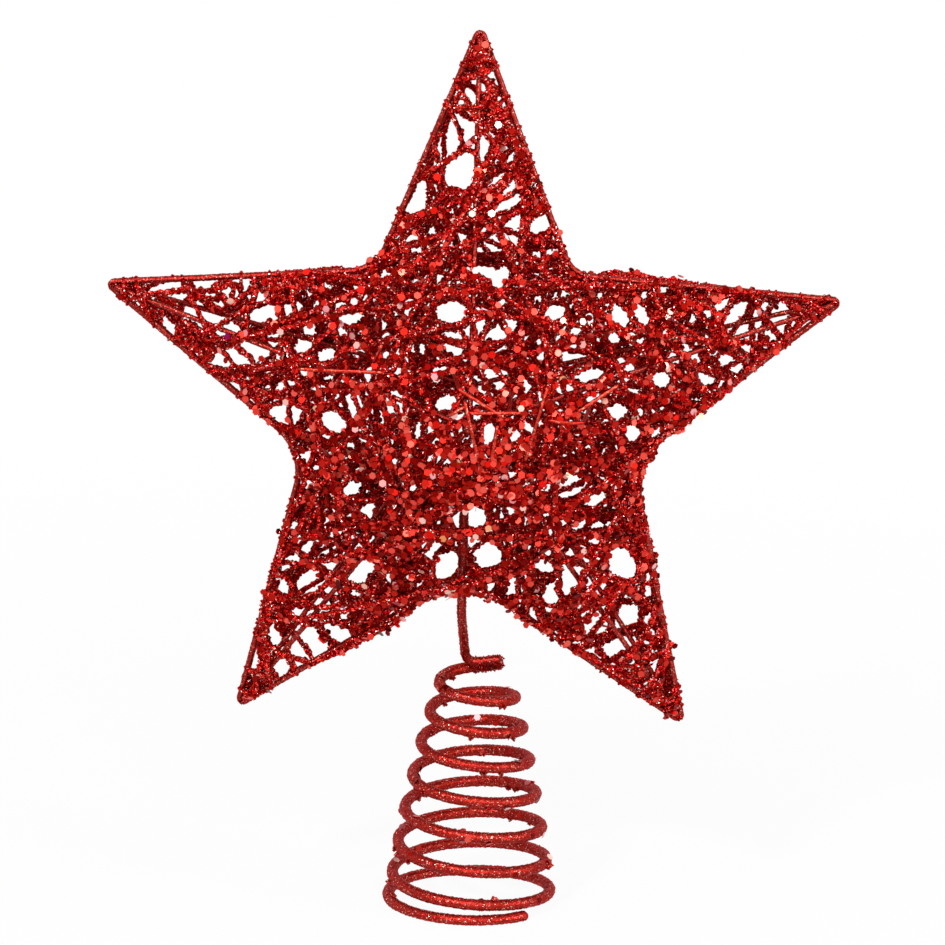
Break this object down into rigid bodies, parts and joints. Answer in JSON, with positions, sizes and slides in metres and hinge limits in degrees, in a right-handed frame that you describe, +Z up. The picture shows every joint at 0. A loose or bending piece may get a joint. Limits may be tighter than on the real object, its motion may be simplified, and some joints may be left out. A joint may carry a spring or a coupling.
{
  "type": "christmas tree topper",
  "caption": "Puffed wire star wound with glitter twine, on a stem and a conical coil spring that slips over the top of a tree.",
  "frame": {"origin": "on the table under the middle of the star, at the bottom centre of the whole part's box", "axes": "+Z up along the stem to the star's top tip, +X to the star's right as seen from the front, -Y towards the front"},
  "size_m": [0.2056, 0.0569, 0.2539],
  "materials": {
    "spring_coat": "glossy red coat with sparse fine glitter",
    "glitter_wire": "red coat with dense fine glitter",
    "glitter_twine": "red twine coated with fine glitter",
    "sequin": "red metallised film, mirror bright"
  },
  "bodies": {
    "spring": {"cone_spring": "spring_coat"},
    "star": {"star_outline_wire": "glitter_wire", "front_rib_top": "glitter_wire", "front_rib_right": "glitter_wire", "front_rib_lower_right": "glitter_wire", "front_rib_lower_left": "glitter_wire", "front_rib_left": "glitter_wire", "front_hub_weld": "glitter_wire", "rear_rib_top": "glitter_wire", "rear_rib_right": "glitter_wire", "rear_rib_lower_right": "glitter_wire", "rear_rib_lower_left": "glitter_wire", "rear_rib_left": "glitter_wire", "rear_hub_weld": "glitter_wire", "stem_wire": "glitter_wire", "twine_winding_top": "glitter_twine", "twine_winding_right": "glitter_twine", "twine_winding_lower_right": "glitter_twine", "twine_winding_lower_left": "glitter_twine", "twine_winding_left": "glitter_twine", "twine_winding_body": "glitter_twine"}
  },
  "joints": [
    {"name": "spring_compression", "type": "slide", "parent": "spring", "child": "star", "axis": [0, 0, 1], "range_m": [-0.025, 0], "stiffness_N_per_m": 700, "springref_m": 0.001, "deforming": ["cone_spring"]}
  ]
}
